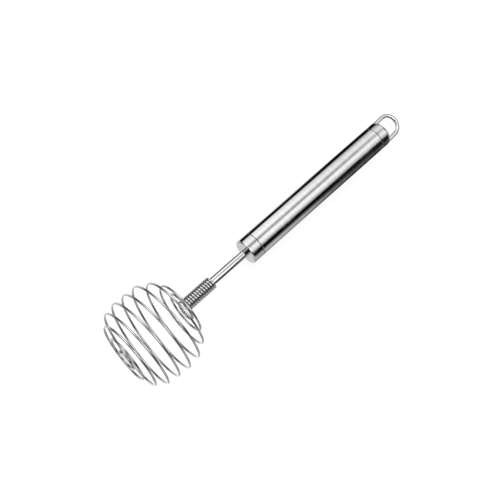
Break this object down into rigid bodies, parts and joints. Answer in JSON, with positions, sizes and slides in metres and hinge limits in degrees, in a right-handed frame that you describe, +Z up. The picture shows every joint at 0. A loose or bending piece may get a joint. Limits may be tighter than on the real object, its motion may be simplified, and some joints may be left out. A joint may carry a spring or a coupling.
{
  "type": "spring whisk",
  "caption": "Spring whisk: a ball of open wire turns on a slim rod, with a round tubular steel handle and a bent wire hanging loop.",
  "frame": {"origin": "middle of the handle tube, on its axis", "axes": "+X along the handle towards the hanging loop, +Y across it in the loop's plane, +Z up from the table it lies on"},
  "size_m": [0.2717, 0.0649, 0.0642],
  "materials": {
    "satin_steel": "satin, brushed round the tube",
    "cap_steel": "turned, satin rim and polished face",
    "loop_steel": "polished bent wire",
    "rod_steel": "polished drawn rod",
    "wire_steel": "polished spring wire"
  },
  "bodies": {
    "root": {"handle_tube": "satin_steel", "front_cap": "cap_steel", "rear_cap": "cap_steel", "hanging_loop": "loop_steel", "handle_rod": "rod_steel", "neck_coil": "wire_steel", "ball_coil": "wire_steel"},
    "nose": {"coil_nose": "wire_steel"}
  },
  "joints": [
    {"name": "nose_press", "type": "slide", "parent": "root", "child": "nose", "axis": [1, 0, 0], "range_m": [-0.005, 0.015], "stiffness_N_per_m": 25, "deforming": ["ball_coil"]}
  ]
}
